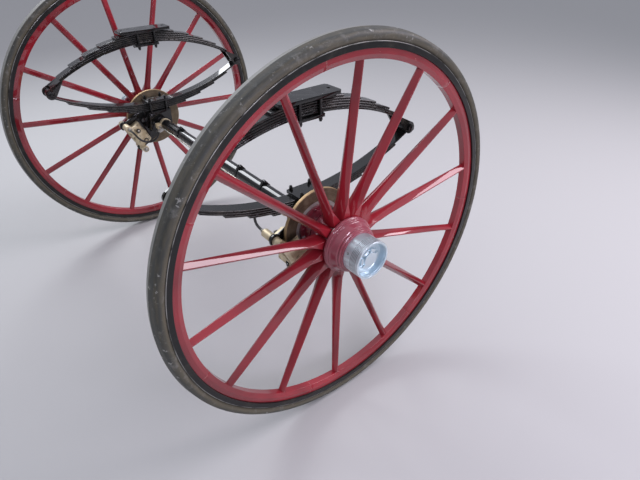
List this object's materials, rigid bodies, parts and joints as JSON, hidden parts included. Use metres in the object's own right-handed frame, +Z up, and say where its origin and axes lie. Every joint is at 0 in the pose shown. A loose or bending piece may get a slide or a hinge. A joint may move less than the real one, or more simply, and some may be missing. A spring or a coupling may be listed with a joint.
{
  "type": "carriage rear axle unit with spoked wheels",
  "caption": "Rear axle unit of a horse-drawn break carriage: spoked rubber-tyred wheels, full-elliptic leaf springs and disc brakes on a round axle.",
  "frame": {"origin": "centre of the four body-bolt holes, level with the top faces of the two spring saddles", "axes": "+X forward, +Y left along the axle, +Z up"},
  "size_m": [1.1278, 1.626, 1.1278],
  "materials": {
    "burgundy_enamel": "gloss burgundy enamel on wood",
    "burgundy_enamel_iron": "gloss burgundy enamel",
    "black_enamel": "gloss black enamel",
    "tyre_rubber": "worn matt rubber",
    "channel_steel": "satin black, worn bright at the edge",
    "turned_aluminium": "turned and polished",
    "disc_iron": "swept, light rust",
    "plated_iron": "dulled zinc plating",
    "pad_iron": "rough",
    "pipe_steel": "dull plated",
    "hose_rubber": "satin black"
  },
  "bodies": {
    "axle": {"axle_beam": "black_enamel", "axle_strap_left": "black_enamel", "axle_strap_right": "black_enamel", "brake_hose_left": "hose_rubber", "brake_hose_right": "hose_rubber", "brake_pads_left": "pad_iron", "brake_pads_right": "pad_iron", "brake_pipe": "pipe_steel", "brake_tee": "plated_iron", "caliper_bracket_left": "black_enamel", "caliper_bracket_right": "black_enamel", "caliper_left": "plated_iron", "caliper_right": "plated_iron", "eye_bolts_left": "black_enamel", "eye_bolts_right": "black_enamel", "hose_union_left": "plated_iron", "hose_union_right": "plated_iron", "lower_clip_bolts_left": "black_enamel", "lower_clip_bolts_right": "black_enamel", "lower_clip_plate_left": "black_enamel", "lower_clip_plate_right": "black_enamel", "pipe_clips": "black_enamel", "spindle_left": "black_enamel", "spindle_right": "black_enamel", "spring_lower_left": "black_enamel", "spring_lower_right": "black_enamel", "spring_pad_left": "black_enamel", "spring_pad_right": "black_enamel", "spring_saddle_left": "black_enamel", "spring_saddle_right": "black_enamel", "spring_upper_left": "black_enamel", "spring_upper_right": "black_enamel", "upper_clip_bolts_left": "black_enamel", "upper_clip_bolts_right": "black_enamel", "upper_clip_plate_left": "black_enamel", "upper_clip_plate_right": "black_enamel"},
    "wheel_left": {"brake_disc_left": "disc_iron", "cap_nut_left": "turned_aluminium", "disc_flange_left": "burgundy_enamel_iron", "felloe_left": "burgundy_enamel", "hub_cap_left": "turned_aluminium", "nave_left": "burgundy_enamel", "spokes_left": "burgundy_enamel", "tyre_channel_left": "channel_steel", "tyre_left": "tyre_rubber"},
    "wheel_right": {"brake_disc_right": "disc_iron", "cap_nut_right": "turned_aluminium", "disc_flange_right": "burgundy_enamel_iron", "felloe_right": "burgundy_enamel", "hub_cap_right": "turned_aluminium", "nave_right": "burgundy_enamel", "spokes_right": "burgundy_enamel", "tyre_channel_right": "channel_steel", "tyre_right": "tyre_rubber"}
  },
  "joints": [
    {"name": "wheel_left_spin", "type": "hinge", "parent": "axle", "child": "wheel_left", "pos_m": [0, 0.705, -0.374], "axis": [0, 1, 0], "continuous": true},
    {"name": "wheel_right_spin", "type": "hinge", "parent": "axle", "child": "wheel_right", "pos_m": [0, -0.705, -0.374], "axis": [0, 1, 0], "continuous": true}
  ]
}
